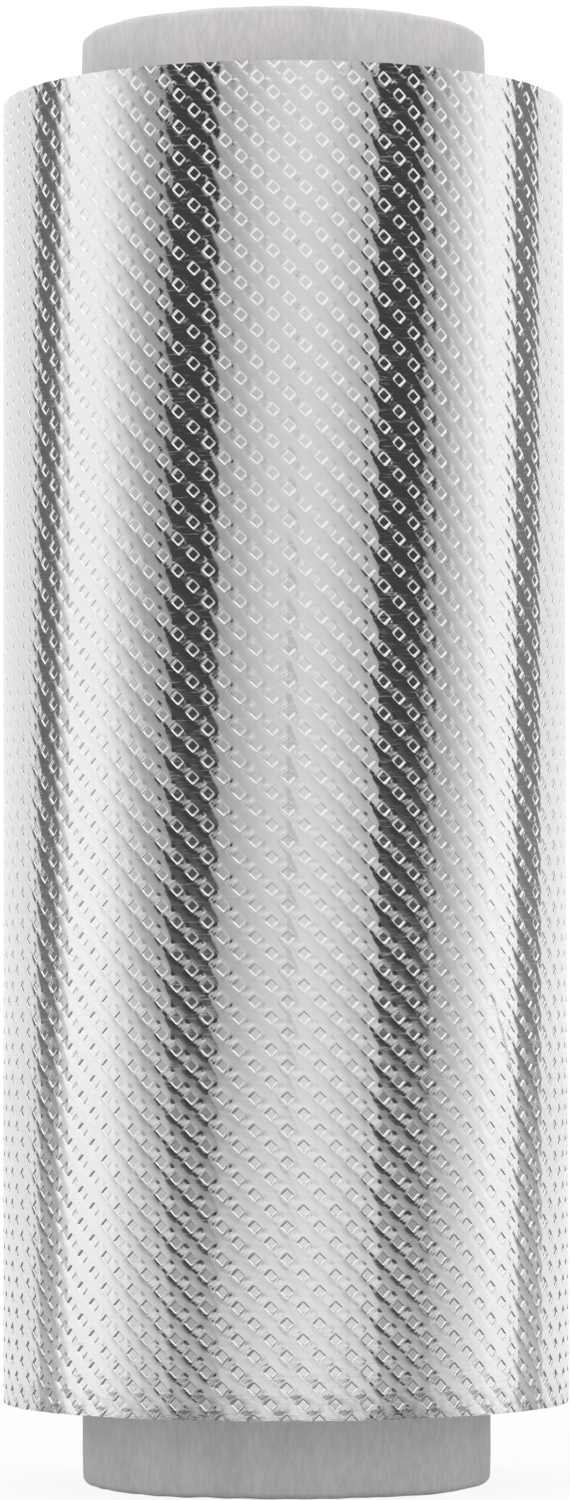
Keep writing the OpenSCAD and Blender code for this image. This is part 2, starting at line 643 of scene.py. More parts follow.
@dataclass(frozen=True)
class Paperboard(Finish):
    """Grey paperboard, wound in a spiral, with matted fibres."""

    name: str = "grey_paperboard"
    colour: Colour = (0.70, 0.69, 0.685)
    darker: Colour = (0.62, 0.615, 0.62)
    warm: Colour = (0.72, 0.685, 0.675)
    seam_colour: Colour = (0.40, 0.39, 0.385)
    roughness: float = 0.72
    reflectance: float = 0.40
    sheen: float = 0.28
    sheen_roughness: float = 0.45
    fibre_depth: float = 0.008 * MM
    streak_low: float = 0.93
    streak_range: float = 0.12
    streaks: Span = (0.36, 0.64)
    slant: float = math.radians(38.0)
    stretch: float = 0.30
    fibre_scale: float = 2400.0
    cloud_scale: float = 260.0
    clouds: Span = (0.35, 0.72)
    cloud_height: float = 0.8
    tint_scale: float = 120.0
    tints: Span = (0.4, 0.7)
    tint_share: float = 0.6
    ply_lead: float = 92.0 * MM
    seam_width: float = 0.006
    seam_share: float = 0.18
    seam_height: float = -1.5

    def paint(self, nodes: Nodes, shader: bpy.types.Node) -> None:
        """Matt board with cloudy patches, fibres and the spiral seam of its outer ply.

        Args:
            nodes: The material's nodes.
            shader: Its Principled shader.
        """
        place = nodes.add("ShaderNodeTexCoord").outputs["Object"]
        x, y, z = nodes.separate(place)
        turn = nodes.ratio(nodes.math("ARCTAN2", y, x), TURN)
        ply = nodes.minus(turn, nodes.ratio(z, self.ply_lead))
        off_seam = nodes.size(nodes.centred(ply))
        seam = nodes.inverse(nodes.ramp(off_seam, 0.0, self.seam_width))
        slanted = nodes.add(
            "ShaderNodeMapping",
            {
                "Vector": place,
                "Rotation": (0.0, self.slant, 0.0),
                "Scale": (1.0, 1.0, self.stretch),
            },
        ).outputs[0]
        clouds = nodes.noise(slanted, scale=self.cloud_scale, detail=3.0, Roughness=0.6)
        tint = nodes.noise(place, scale=self.tint_scale)
        fibres = nodes.noise(slanted, scale=self.fibre_scale, detail=4.0, Roughness=0.7)
        base = nodes.blend_colour(
            nodes.ramp(clouds, *self.clouds), (*self.darker, 1.0), (*self.colour, 1.0)
        )
        warm = nodes.product(nodes.ramp(tint, *self.tints), self.tint_share)
        base = nodes.blend_colour(warm, base, (*self.warm, 1.0))
        seam_tone = nodes.product(seam, self.seam_share)
        base = nodes.blend_colour(seam_tone, base, (*self.seam_colour, 1.0))
        streaks = nodes.product(nodes.ramp(fibres, *self.streaks), self.streak_range)
        tone = nodes.total(self.streak_low, streaks)
        nodes.feed(shader.inputs["Base Color"], nodes.scaled(base, tone))
        height = nodes.total(
            fibres,
            nodes.product(clouds, self.cloud_height),
            nodes.product(seam, self.seam_height),
        )
        nodes.feed(shader.inputs["Normal"], self.bump(nodes, height, self.fibre_depth))
        shader.inputs["Roughness"].default_value = self.roughness
        shader.inputs["Specular IOR Level"].default_value = self.reflectance
        shader.inputs["Sheen Weight"].default_value = self.sheen
        shader.inputs["Sheen Roughness"].default_value = self.sheen_roughness


# -------------------------------------------------------------- the foil roll


@dataclass(frozen=True)
class DiamondProfile:
    """The pressed diamond's rings, from its flat floor out to the plain foil.

    Each ring has a share of the lattice cell, the share of the full depth there,
    and the slopes just inside and just outside it.
    """

    shares: tuple[float, ...] = (0.335, 0.375, 0.415, 0.435)
    sunk: tuple[float, ...] = (1.0, 0.50, 0.06, 0.0)
    slope_outside: tuple[float, ...] = (0.25, 0.92, 0.50, 0.0)
    slope_inside: tuple[float, ...] = (0.0, 0.90, 0.88, 0.10)
    cell: float = 0.5

    def mesh(self) -> bpy.types.Mesh:
        """Builds one cell of the lattice: a pressed diamond in its own rhombus of plain foil.

        Returns:
            A mesh in lattice units, with the full depth as 1 and a slope stored at each corner.
        """
        corners = ((1.0, 0.0), (0.0, 1.0), (-1.0, 0.0), (0.0, -1.0))
        rings = [(s * self.cell, d) for s, d in zip(self.shares, self.sunk)] + [(self.cell, 0.0)]
        points = [(0.0, 0.0, -self.sunk[0])]
        for reach, depth in rings:
            points += [(x * reach, y * reach, -depth) for x, y in corners]
        faces: list[tuple[int, ...]] = []
        slopes: list[tuple[float, float, float]] = []
        inside = (*self.slope_inside, 0.0)
        outside = (*self.slope_outside, 0.0)
        for side in range(4):
            after = (side + 1) % 4
            facing = [-(a + b) * math.sqrt(0.5) for a, b in zip(corners[side], corners[after])]
            faces.append((0, 1 + side, 1 + after))
            slopes += [(0.0, 0.0, 0.0)] * 3
            for ring in range(len(rings) - 1):
                near, far = 1 + 4 * ring, 5 + 4 * ring
                faces.append((near + side, far + side, far + after, near + after))
                for slope in (outside[ring], inside[ring + 1], inside[ring + 1], outside[ring]):
                    slopes.append((facing[0] * slope, facing[1] * slope, 0.0))
        mesh = bpy.data.meshes.new("diamond_cell")
        mesh.from_pydata(points, [], faces)
        mesh.attributes.new("slope", "FLOAT_VECTOR", "CORNER").data.foreach_set(
            "vector", np.array(slopes, np.float32).ravel()
        )
        return mesh


@dataclass
class WoundFoil:
    """The wound strip: its embossed last turn, and the turns below that show at the ends."""

    radius: float
    foot: float
    height: float
    bore: float
    columns: int = 57
    half_rows: int = 85
    dent: float = 0.11 * MM
    end_step: float = 0.16 * MM
    end_angle: float = math.radians(118.47)
    sheet: float = 0.55 * MM
    wave_depth: float = 0.03 * MM
    wave_scale: float = 55.0
    crumple_depth: float = 0.06 * MM
    crumple_reach: float = 2.0 * MM
    skew: float = 0.195
    crumple_scale: float = 420.0
    ragged: float = 0.14 * MM
    seed: float = 4.0
    end_turns: int = 26
    end_segments: int = 128
    ridge: float = 0.12 * MM
    telescope: float = 0.16 * MM
    slip_scale: float = 0.9
    sway_scale: float = 2.2
    sway_drift: float = 0.7
    profile: DiamondProfile = field(default_factory=DiamondProfile)
    finish: EmbossedFoil = field(default_factory=EmbossedFoil)
    edge_finish: FoilEdges = field(default_factory=FoilEdges)

    # Distances below which points meet: between cells and anywhere on the lattice, and once wound
    CELL_JOIN = 0.01
    CLOSE = 0.001
    JOIN = 0.001 * MM
    # The back's level below the flat sheet, and the one that parts it from the embossed skin
    BACK_LEVEL = -2.0
    SKIN_LEVEL = -1.5
    # An open edge has fewer faces beside it than this
    ENOUGH_FACES = 1.5
    # How far away on the lattice the skin's lean is measured
    PROBE = 0.12

    def build(self) -> list[bpy.types.Object]:
        """Builds both pieces of the wound strip.

        Returns:
            The embossed last turn and the turns below it.
        """
        wrap = self.embossed_turn()
        turns = self.turns_below()
        for piece in (wrap, turns):
            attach(piece, BODY)
            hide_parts("foil_roll")
            report(piece)
        return [wrap, turns]

    def embossed_turn(self) -> bpy.types.Object:
        """Lays the diamonds out flat, closes the sheet behind them and winds it on the roll.

        Returns:
            The embossed last turn as one closed mesh.
        """
        cell = bpy.data.objects.new("diamond_cell", self.profile.mesh())
        bpy.context.scene.collection.objects.link(cell)
        tree = ShapeTree(
            "wind_embossed_foil",
            {
                "Cell": cell,
                "Columns": self.columns,
                "Half Rows": self.half_rows,
                "Radius": self.radius,
                "Foot": self.foot,
                "Height": self.height,
                "Dent": self.dent,
                "Sheet": self.sheet,
                "End Step": self.end_step,
                "End Angle": self.end_angle,
                "Skew": self.skew,
                "Crumple Depth": self.crumple_depth,
                "Crumple Reach": self.crumple_reach,
                "Ragged": self.ragged,
                "Wave Depth": self.wave_depth,
                "Seed": self.seed,
                "Material": self.finish.material(),
            },
        )
        flat = self.flat_sheet(tree)
        closed = self.closed_sheet(tree, flat)
        self.wind(tree, closed)
        piece = tree.build("foil_embossed_turn")
        bpy.data.objects.remove(cell)
        return piece

    def flat_sheet(self, tree: ShapeTree) -> Socket:
        """Repeats the cell in staggered rows and trims it to the strip's edges.

        Args:
            tree: The tree that the nodes go into.

        Returns:
            The flat embossed sheet, in lattice units.
        """
        columns, half_rows = tree.given("Columns"), tree.given("Half Rows")
        in_row = tree.total(columns, 1.0)
        index = tree.add("GeometryNodeInputIndex").outputs[0]
        row = tree.math("FLOOR", tree.ratio(tree.total(index, 0.5), in_row))
        across = tree.minus(index, tree.product(row, in_row))
        stagger = tree.product(tree.math("MODULO", row, 2.0), 0.5)
        points = tree.add(
            "GeometryNodePoints",
            {
                "Count": tree.product(in_row, tree.total(half_rows, 1.0)),
                "Position": tree.combine(
                    tree.total(across, stagger), tree.product(row, 0.5), 0.0
                ),
            },
        )
        cell = tree.add("GeometryNodeObjectInfo", {"Object": tree.given("Cell")})
        placed = tree.add(
            "GeometryNodeInstanceOnPoints",
            {"Points": points.outputs[0], "Instance": cell.outputs["Geometry"]},
        )
        real = tree.add("GeometryNodeRealizeInstances", {"Geometry": placed.outputs[0]})
        x, y, _ = self.position(tree)
        top = tree.product(half_rows, 0.5)
        past_end = tree.compare("GREATER_THAN", x, columns)
        past_top = tree.compare("GREATER_THAN", y, top)
        outside = tree.math(
            "MAXIMUM",
            tree.math("MAXIMUM", tree.compare("LESS_THAN", x, 0.0), past_end),
            tree.math("MAXIMUM", tree.compare("LESS_THAN", y, 0.0), past_top),
        )
        kept = tree.add(
            "GeometryNodeDeleteGeometry",
            {"Geometry": real.outputs[0], "Selection": outside},
            domain="FACE",
        )
        return tree.merged(kept.outputs[0], self.CELL_JOIN)

    @staticmethod
    def position(tree: ShapeTree) -> list[Socket]:
        """Returns the three numbers of each point's position."""
        return tree.separate(tree.add("GeometryNodeInputPosition").outputs[0])

    def closed_sheet(self, tree: ShapeTree, flat: Socket) -> Socket:
        """Closes the flat sheet: a step at its free end, a rim at both edges and a wall behind.

        Args:
            tree: The tree that the nodes go into.
            flat: The flat embossed sheet.

        Returns:
            The closed sheet in lattice units, its back marked by a level of its own.
        """
        columns = tree.given("Columns")
        top = tree.product(tree.given("Half Rows"), 0.5)
        coordinates = tree.add("GeometryNodeInputPosition").outputs[0]
        x, y, z = tree.separate(coordinates)
        sheet = tree.store(flat, "lattice", coordinates, "FLOAT2", "CORNER")
        at_free_end = tree.compare("LESS_THAN", x, self.CLOSE)
        sheet = self.extruded(tree, sheet, at_free_end, tree.combine(columns, y, z))
        at_low_edge = tree.compare("LESS_THAN", y, self.CLOSE)
        at_high_edge = tree.compare("GREATER_THAN", y, tree.minus(top, self.CLOSE))
        snapped = tree.product(tree.math("ROUND", tree.product(x, 2.0)), 0.5)
        at_edge = tree.math("MAXIMUM", at_low_edge, at_high_edge)
        sheet = self.extruded(tree, sheet, at_edge, tree.combine(snapped, y, self.BACK_LEVEL))
        behind = tree.compare("LESS_THAN", z, self.BACK_LEVEL + self.CLOSE)
        low_back = tree.product(behind, at_low_edge)
        return self.extruded(tree, sheet, low_back, tree.combine(x, top, z))

    def extruded(
        self, tree: ShapeTree, geometry: Value, chosen: Value, position: Value
    ) -> Socket:
        """Extrudes the chosen open edges to a position, marks the new faces and joins what meets.

        Args:
            tree: The tree that the nodes go into.
            geometry: The sheet so far.
            chosen: Which of its edges are extruded.
            position: Where their new points go.

        Returns:
            The sheet with its new faces.
        """
        faces_beside = tree.add("GeometryNodeInputMeshEdgeNeighbors").outputs[0]
        is_open = tree.compare("LESS_THAN", faces_beside, self.ENOUGH_FACES)
        node = tree.add(
            "GeometryNodeExtrudeMesh",
            {"Mesh": geometry, "Selection": tree.product(is_open, chosen), "Offset Scale": 0.0},
            mode="EDGES",
        )
        moved = tree.place(node.outputs["Mesh"], position, node.outputs["Top"])
        marked = tree.store(moved, "back", True, "BOOLEAN", "FACE", node.outputs["Side"])
        return tree.merged(marked, self.CLOSE)

    def pulled_in(self, tree: ShapeTree, x: Value, y: Value) -> Socket:
        """Draws the foil in by its waves and crumpled edges.

        Args:
            tree: The tree that the nodes go into.
            x: The place on the lattice, round the roll.
            y: The place on the lattice, along it.

        Returns:
            How far the foil is drawn in there.
        """
        angle = tree.product(tree.ratio(x, tree.given("Columns")), TURN)
        spot = tree.around(angle, tree.given("Radius"), self.rise(tree, y))
        seed = tree.given("Seed")
        wave = tree.noise(tree.vector_math("ADD", spot, seed), self.wave_scale, 1.0)
        crumple = tree.noise(tree.vector_math("SUBTRACT", spot, seed), self.crumple_scale)
        return tree.total(
            tree.product(wave, tree.given("Wave Depth")),
            tree.product(crumple, self.near_edge(tree, y), tree.given("Crumple Depth")),
        )

    @staticmethod
    def angle(tree: ShapeTree, x: Value, y: Value) -> Socket:
        """Finds a lattice place's angle round the roll, moved on a little with each row.

        Args:
            tree: The tree that the nodes go into.
            x: The place on the lattice, round the roll.
            y: The place on the lattice, along it.

        Returns:
            The angle, seen from above.
        """
        top = tree.product(tree.given("Half Rows"), 0.5)
        askew = tree.total(x, tree.product(tree.ratio(y, top), tree.given("Skew")))
        turned = tree.ratio(askew, tree.given("Columns"))
        return tree.total(tree.product(turned, TURN), tree.given("End Angle"))

    @staticmethod
    def rise(tree: ShapeTree, y: Value) -> Socket:
        """Returns a lattice row's height above the foil's lower edge."""
        row = tree.ratio(tree.given("Height"), tree.product(tree.given("Half Rows"), 0.5))
        return tree.product(y, row)

    def near_edge(self, tree: ShapeTree, y: Value) -> Socket:
        """Finds how near a row is to the foil's edges.

        Args:
            tree: The tree that the nodes go into.
            y: The place on the lattice, along the roll.

        Returns:
            1 at an edge, falling to 0 within the crumpled band.
        """
        rise = self.rise(tree, y)
        off = tree.math("MINIMUM", rise, tree.minus(tree.given("Height"), rise))
        return tree.inverse(tree.ramp(off, 0.0, tree.given("Crumple Reach")))

    def wind(self, tree: ShapeTree, sheet: Socket) -> None:
        """Winds the closed sheet on the roll and sets its normals.

        Args:
            tree: The tree that the nodes go into.
            sheet: The closed sheet, in lattice units.
        """
        radius, columns, foot = (tree.given(n) for n in ("Radius", "Columns", "Foot"))
        x, y, z = self.position(tree)
        skin = tree.compare("GREATER_THAN", z, self.SKIN_LEVEL)
        spiral = tree.product(tree.ratio(x, columns), tree.given("End Step"))
        front = tree.minus(
            tree.total(radius, tree.product(z, tree.given("Dent"))),
            tree.total(spiral, self.pulled_in(tree, x, y)),
        )
        back = tree.minus(radius, tree.given("Sheet"))
        reach = tree.total(tree.product(front, skin), tree.product(back, tree.inverse(skin)))
        angle = self.angle(tree, x, y)
        rim = tree.around(angle, radius, tree.given("Seed"))
        frayed = tree.minus(tree.noise(rim, self.crumple_scale, 3.0), 0.5)
        fray = tree.product(frayed, self.near_edge(tree, y), tree.given("Ragged"), skin)
        height = tree.total(foot, self.rise(tree, y), fray)
        wound = tree.place(sheet, tree.around(angle, reach, height))
        joined = tree.merged(wound, self.JOIN)
        creased = tree.add(
            "GeometryNodeSetShadeSmooth",
            {"Geometry": self.with_normals(tree, joined), "Shade Smooth": False},
            domain="EDGE",
        )
        tree.close(creased.outputs[0])

    def with_normals(self, tree: ShapeTree, wound: Socket) -> Socket:
        """Gives each corner of the skin the smooth slope of its diamond, wave and crumple.

        Args:
            tree: The tree that the nodes go into.
            wound: The wound sheet.

        Returns:
            The sheet with its own normals.
        """
        u, v, _ = tree.separate(tree.named("lattice", "FLOAT_VECTOR"))
        slope_round, slope_along, _ = tree.separate(tree.named("slope", "FLOAT_VECTOR"))
        here = self.pulled_in(tree, u, v)
        ahead = self.pulled_in(tree, tree.total(u, self.PROBE), v)
        above = self.pulled_in(tree, u, tree.total(v, self.PROBE))
        girth = tree.product(tree.given("Radius"), TURN * self.PROBE)
        span = tree.ratio(girth, tree.given("Columns"))
        lean_round = tree.total(slope_round, tree.ratio(tree.minus(ahead, here), span))
        lean_along = tree.total(slope_along, tree.ratio(tree.minus(above, here), span))
        cosine, sine = tree.circle(self.angle(tree, u, v))
        outward = tree.combine(cosine, sine, 0.0)
        tangent = tree.combine(tree.product(sine, -1.0), cosine, 0.0)
        level = tree.vector_math("ADD", outward, tree.scaled(tangent, lean_round))
        leaning = tree.vector_math("ADD", level, tree.combine(0.0, 0.0, lean_along))
        flat = tree.add("GeometryNodeFieldOnDomain", domain="FACE", data_type="FLOAT_VECTOR")
        tree.feed(tree.socket(flat, "Value"), tree.add("GeometryNodeInputNormal").outputs[0])
        pick = tree.add("GeometryNodeSwitch", input_type="VECTOR")
        tree.feed(tree.socket(pick, "Switch"), tree.named("back", "BOOLEAN"))
        tree.feed(tree.socket(pick, "False"), tree.vector_math("NORMALIZE", leaning))
        tree.feed(tree.socket(pick, "True"), next(s for s in flat.outputs if s.enabled))
        node = tree.add("GeometryNodeSetMeshNormal", {"Mesh": wound}, mode="FREE", domain="CORNER")
        tree.feed(tree.socket(node, "Custom Normal"), next(s for s in pick.outputs if s.enabled))
        return node.outputs[0]

    def turns_below(self) -> bpy.types.Object:
        """Winds the turns below the last one, whose edges show as a spiral at both ends.

        Returns:
            The turns as one closed ring.
        """
        outer = self.radius - self.sheet - GAP
        tree = ShapeTree(
            "wind_turns",
            {
                "Segments": self.end_segments,
                "Turns": self.end_turns,
                "Bore": self.bore,
                "Outer": outer,
                "Foot": self.foot,
                "Height": self.height,
                "Ridge": self.ridge,
                "Telescope": self.telescope,
                "Seed": self.seed,
                "Material": self.edge_finish.material(),
            },
        )
        ring = self.rolled_strip(tree)
        tree.close(tree.merged(ring, self.JOIN), False)
        return tree.build("foil_turns_below")

    def rolled_strip(self, tree: ShapeTree) -> Socket:
        """Rolls a grid into the ring: down one end face's spiral and up the other's.

        Args:
            tree: The tree that the nodes go into.

        Returns:
            The ring, whose first and last rows meet.
        """
        segments, turns, bore = (tree.given(n) for n in ("Segments", "Turns", "Bore"))
        last = tree.total(tree.product(turns, 2.0), 2.0)
        around = tree.total(tree.product(last, 2.0), 2.0)
        grid = tree.add(
            "GeometryNodeMeshGrid",
            {
                "Size X": segments,
                "Size Y": around,
                "Vertices X": tree.total(segments, 1.0),
                "Vertices Y": tree.total(around, 1.0),
            },
        )
        x, y, _ = self.position(tree)
        turned = tree.total(tree.ratio(x, segments), 0.5)
        row = tree.math("ROUND", tree.total(y, tree.product(around, 0.5)))
        row = tree.math("MODULO", row, around)
        from_middle = tree.minus(tree.total(last, 0.5), row)
        line = tree.minus(tree.size(from_middle), 0.5)
        side = tree.math("SIGN", from_middle)
        turn = tree.minus(tree.total(tree.product(line, 0.5), turned), 1.0)
        turn = tree.add("ShaderNodeClamp", {"Value": turn, "Min": 0.0, "Max": turns}).outputs[0]
        pitch = tree.ratio(tree.minus(tree.given("Outer"), bore), turns)
        reach = tree.total(bore, tree.product(turn, pitch))
        angle = tree.product(turned, TURN)
        valley = tree.inverse(tree.math("MODULO", line, 2.0))
        slip_place = tree.combine(turn, tree.given("Seed"), side)
        slip = tree.noise(slip_place, self.slip_scale, 3.0)
        sway_place = tree.around(angle, 1.0, tree.product(turn, self.sway_drift))
        sway = tree.noise(sway_place, self.sway_scale)
        sunk = tree.total(
            tree.product(valley, tree.given("Ridge")),
            tree.product(slip, tree.given("Telescope")),
            tree.product(sway, tree.given("Telescope")),
        )
        half = tree.product(tree.given("Height"), 0.5)
        level = tree.total(tree.given("Foot"), half, tree.product(side, tree.minus(half, sunk)))
        return tree.place(grid.outputs[0], tree.around(angle, reach, level))


# ------------------------------------------------------------------ the tube


@dataclass
class PaperTube:
    """The paperboard tube, with soft, slightly frayed rims."""

    outer: float
    length: float
    wall: float = 2.8 * MM
    rounding: float = 0.7 * MM
    segments: int = 192
    rounding_steps: int = 5
    wall_steps: int = 12
    fray: float = 0.16 * MM
    side_fray: float = 0.6
    side_shift: int = 7
    rim_reach: float = 1.6 * MM
    waves: range = range(2, 46)
    wave_fall: float = 0.6
    seed: int = 11
    finish: Paperboard = field(default_factory=Paperboard)

    def build(self) -> bpy.types.Object:
        """Builds the tube as one closed mesh.

        Returns:
            The tube's object.
        """
        profile = self.profile()
        count = len(profile)
        radii = np.array([p[0] for p in profile])[:, None]
        heights = np.array([p[1] for p in profile])[:, None]
        near_rim = np.array([p[2] for p in profile])[:, None]
        side = np.where(heights > self.length / 2, Edge.UPPER.value, Edge.LOWER.value)
        angles = np.linspace(0.0, TURN, self.segments, endpoint=False)[None, :]
        worn = np.where(side > 0, self.wear(angles, self.seed), self.wear(angles, self.seed + 1))
        heights = heights - side * near_rim * worn * self.fray
        middle = self.outer - self.wall / 2
        inward = np.sign(radii - middle) * near_rim * self.fray * self.side_fray
        radii = radii - inward * np.roll(worn, self.side_shift, axis=1)
        heights = np.broadcast_to(heights, radii.shape)
        points = np.stack([radii * np.cos(angles), radii * np.sin(angles), heights], -1)
        faces = []
        for row in range(count):
            after = (row + 1) % count
            for k in range(self.segments):
                n = (k + 1) % self.segments
                faces.append(
                    (
                        row * self.segments + k,
                        row * self.segments + n,
                        after * self.segments + n,
                        after * self.segments + k,
                    )
                )
        mesh = bpy.data.meshes.new("paper_tube")
        mesh.from_pydata(points.reshape(-1, 3).tolist(), [], faces)
        mesh.shade_smooth()
        mesh.materials.append(self.finish.material())
        piece = bpy.data.objects.new("paper_tube", mesh)
        bpy.context.scene.collection.objects.link(piece)
        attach(piece, BODY)
        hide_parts("core_tube")
        report(piece)
        return piece

    def wear(self, angles: np.ndarray, seed: int) -> np.ndarray:
        """Wears a rim by waves of random size.

        Args:
            angles: The angles round the tube.
            seed: The seed of the random draws.

        Returns:
            How worn the rim is at each angle, from 0 to 1.
        """
        draw = np.random.default_rng(seed)
        total = np.zeros_like(angles)
        for wave in self.waves:
            height = draw.normal()
            swing = np.sin(wave * angles + draw.uniform(0, TURN))
            total += height * swing / wave**self.wave_fall
        total -= total.min()
        return total / total.max()

    def profile(self) -> list[tuple[float, float, float]]:
        """Lists the wall's closed section, up the outside and down the bore.

        Returns:
            Each point's radius, height and nearness to a rim.
        """
        inner = self.outer - self.wall
        points: list[tuple[float, float, float]] = []
        corners = (
            (self.outer, 0.0, -1.0, 1.0, -90.0),
            (self.outer, self.length, -1.0, -1.0, 0.0),
            (inner, self.length, 1.0, -1.0, 90.0),
            (inner, 0.0, 1.0, 1.0, 180.0),
        )
        for number, (radius, height, inward, up, start) in enumerate(corners):
            centre = (radius + inward * self.rounding, height + up * self.rounding)
            for step in range(self.rounding_steps + 1):
                angle = math.radians(start + 90.0 * step / self.rounding_steps)
                points.append(
                    (
                        centre[0] + self.rounding * math.cos(angle),
                        centre[1] + self.rounding * math.sin(angle),
                        1.0,
                    )
                )
            if number % 2 == 0:
                points += self.wall_points(radius, up)
        return points

    def wall_points(self, radius: float, up: float) -> list[tuple[float, float, float]]:
        """Lists a wall's points between its two rims, crowded towards them.

        Args:
            radius: The wall's radius.
            up: 1 for a wall listed from its foot, or -1 from its top.

        Returns:
            Each point's radius, height and nearness to a rim.
        """
        shares = (1.0 - np.cos(np.linspace(0.0, math.pi, self.wall_steps + 2)[1:-1])) / 2.0
        if up < 0:
            shares = shares[::-1]
        span = self.length - 2.0 * self.rounding
        return [
            (
                radius,
                self.rounding + span * share,
                max(0.0, 1.0 - min(share, 1.0 - share) * span / self.rim_reach),
            )
            for share in shares
        ]


# ---------------------------------------------------------------- the studio


@dataclass(frozen=True)
class Panel:
    """One stretch of the studio's surround, with its brightness at both ends."""

    name: str
    start: float
    end: float
    start_level: float
    end_level: float


PANELS = (
    Panel("rear left sheet", -180.0, -121.2, 0.92, 0.74),
    Panel("rear left card", -120.3, -107.0, 0.13, 0.15),
    Panel("left sheet", -98.0, -80.0, 0.92, 0.90),
    Panel("left fall-off", -73.0, -58.0, 0.78, 0.40),
    Panel("left grey", -56.0, -48.4, 0.37, 0.33),
    Panel("left card", -48.0, -28.2, 0.055, 0.045),
    Panel("front left", -27.7, -10.0, 0.34, 0.56),
    Panel("front", -4.0, 8.0, 0.63, 0.69),
    Panel("front right", 18.0, 37.5, 0.65, 0.41),
    Panel("right card", 37.9, 59.5, 0.05, 0.05),
    Panel("right grey", 60.0, 66.0, 0.30, 0.38),
    Panel("right fall-off", 70.0, 82.0, 0.47, 0.72),
    Panel("right sheet", 92.0, 106.0, 0.93, 0.93),
    Panel("rear right card", 109.8, 126.5, 0.19, 0.19),
    Panel("rear right sheet", 127.5, 180.0, 0.80, 0.92),
)


